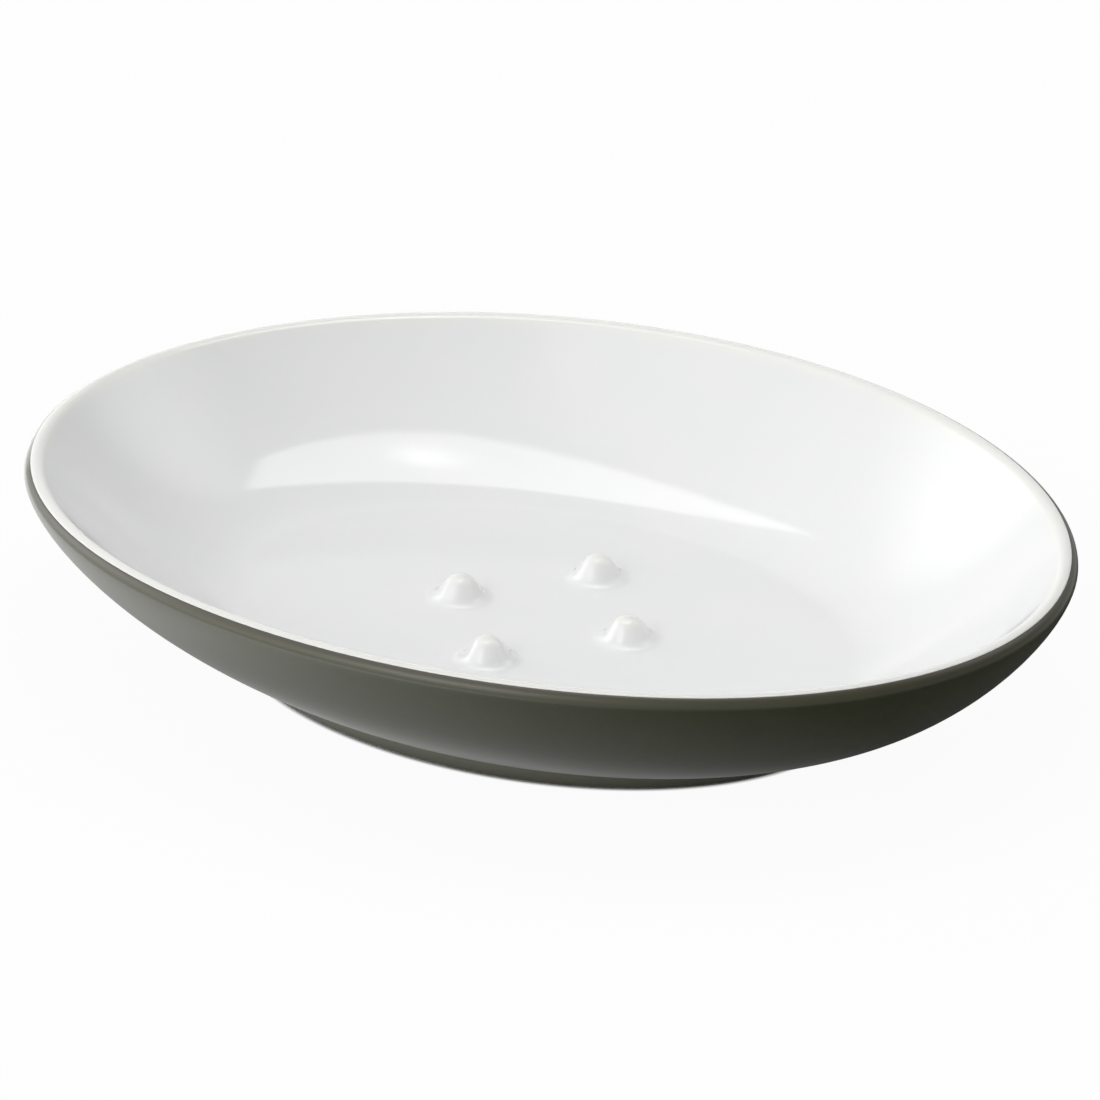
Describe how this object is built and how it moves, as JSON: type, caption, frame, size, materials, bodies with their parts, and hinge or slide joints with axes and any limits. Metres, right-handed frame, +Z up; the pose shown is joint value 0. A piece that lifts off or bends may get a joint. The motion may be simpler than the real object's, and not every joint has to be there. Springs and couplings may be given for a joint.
{
  "type": "soap dish",
  "caption": "Low oval stoneware soap dish on a foot ring, white gloss inside with raised soap studs in the floor, rounded lip, dark satin glaze outside.",
  "frame": {"origin": "on the table, under the middle of the dish, in the plane of the foot ring's standing face", "axes": "+X along the dish's long side, +Y along its short side, +Z up"},
  "size_m": [0.14, 0.1068, 0.0246],
  "materials": {
    "bare_stoneware": "matt, bisque, wiped bare at the foot",
    "white_gloss_glaze": "gloss",
    "grey_green_satin_glaze": "satin"
  },
  "bodies": {
    "root": {"stoneware_body": "bare_stoneware", "inner_glaze": "white_gloss_glaze", "outer_glaze": "grey_green_satin_glaze", "base_glaze": "grey_green_satin_glaze"}
  },
  "joints": []
}
